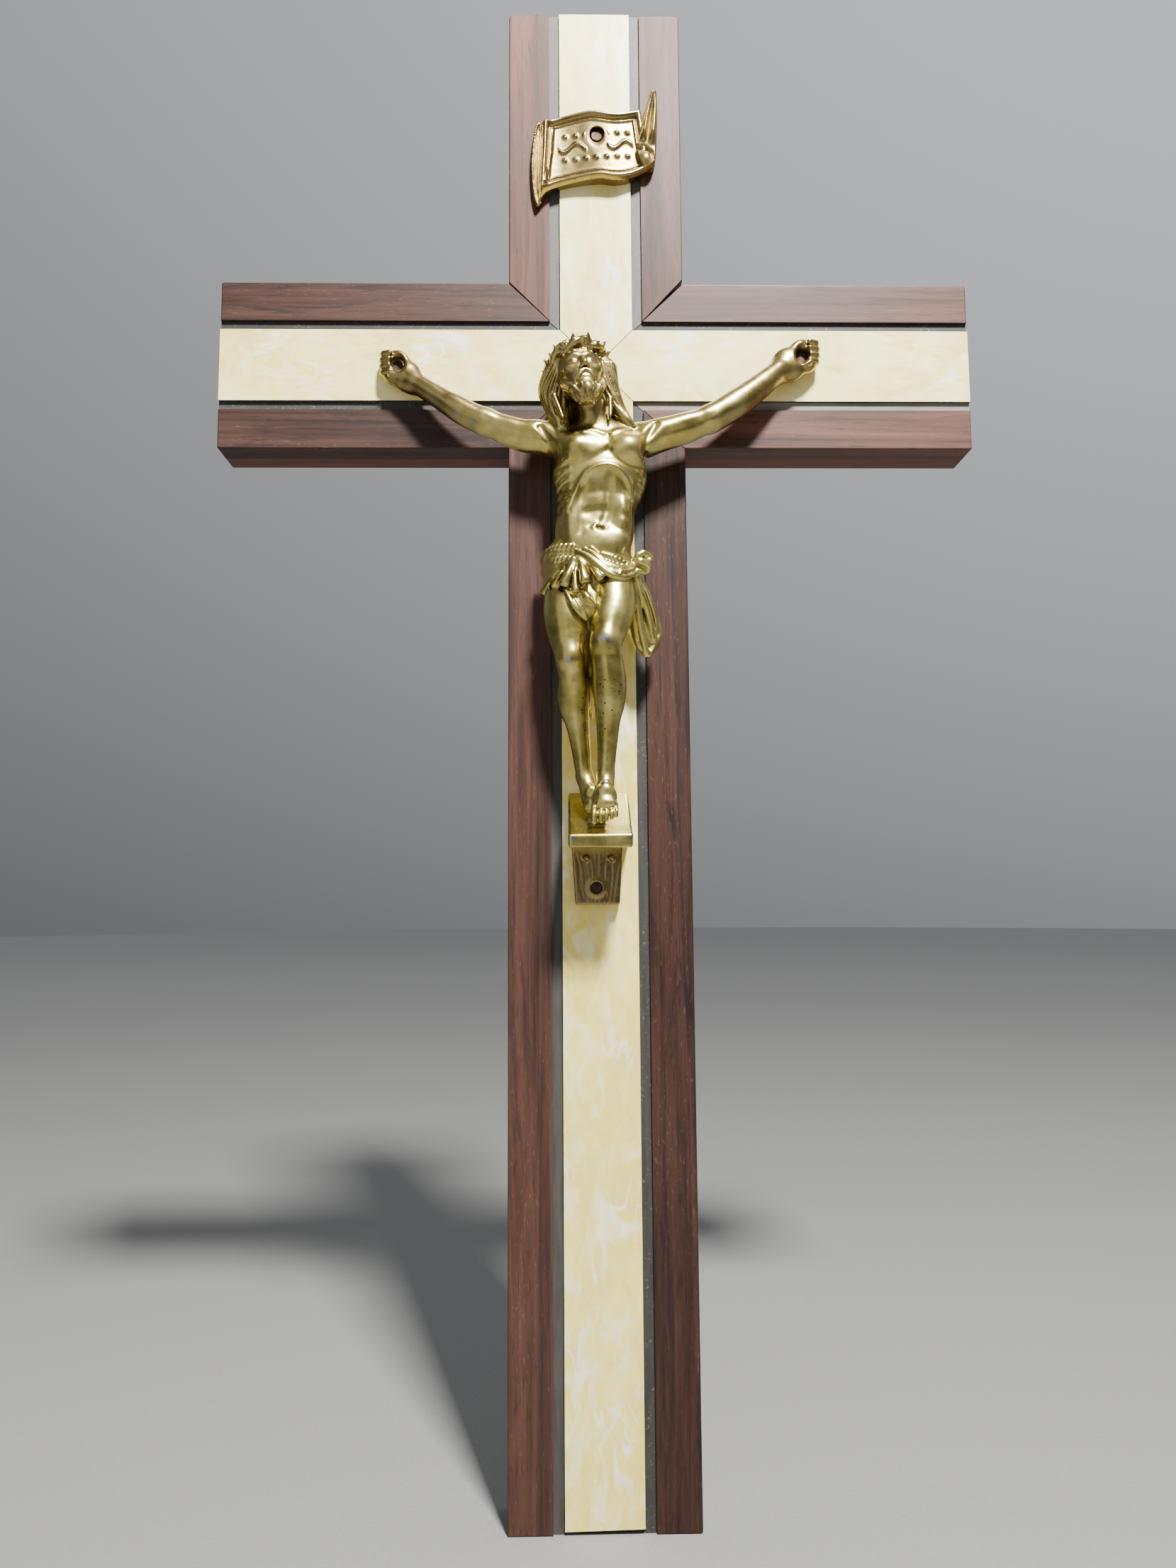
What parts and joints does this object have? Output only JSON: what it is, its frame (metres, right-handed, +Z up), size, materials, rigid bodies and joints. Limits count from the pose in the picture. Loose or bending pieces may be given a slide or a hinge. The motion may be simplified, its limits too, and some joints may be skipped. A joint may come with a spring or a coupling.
{
  "type": "wall crucifix",
  "caption": "Wall crucifix: rosewood cross with pearl inlay, a gilt cast figure on a footrest, a blank cast scroll and a D-ring hanger on the back.",
  "frame": {"origin": "middle of the foot end, halfway through the cross's thickness", "axes": "+X along the arms to the viewer's right, +Y towards the wall, +Z up the cross; the figure faces -Y"},
  "size_m": [0.171, 0.0343, 0.337],
  "materials": {
    "rosewood": "waxed, open pored",
    "back_wood": "waxed, plain sawn",
    "bed_wood": "unfinished, glued under the pearl",
    "fillet": "dyed grey-black, matt",
    "pearl": "polished, pearlescent",
    "gilt": "gilt wash over grey metal, rubbed through on high places",
    "nail_steel": "darkened",
    "hanger_brass": "aged"
  },
  "bodies": {
    "cross": {"upright_board": "back_wood", "crossbar_board": "back_wood", "rail_top_left": "rosewood", "rail_top_right": "rosewood", "rail_foot_left": "rosewood", "rail_foot_right": "rosewood", "rail_left_upper": "rosewood", "rail_left_lower": "rosewood", "rail_right_upper": "rosewood", "rail_right_lower": "rosewood", "fillet_top_left": "fillet", "fillet_top_right": "fillet", "fillet_foot_left": "fillet", "fillet_foot_right": "fillet", "fillet_left_upper": "fillet", "fillet_left_lower": "fillet", "fillet_right_upper": "fillet", "fillet_right_lower": "fillet", "pearl_top": "pearl", "pearl_foot": "pearl", "pearl_left": "pearl", "pearl_right": "pearl", "bed_upright": "bed_wood", "bed_arm_left": "bed_wood", "bed_arm_right": "bed_wood", "corpus": "gilt", "scroll": "gilt", "fixing_nails": "nail_steel", "hanger_plate": "hanger_brass", "hanger_screws": "hanger_brass"},
    "ring": {"hanging_ring": "hanger_brass"}
  },
  "joints": [
    {"name": "ring_swing", "type": "hinge", "parent": "cross", "child": "ring", "pos_m": [0, 0.0075, 0.315], "axis": [1, 0, 0], "range_deg": [0, 180]}
  ]
}
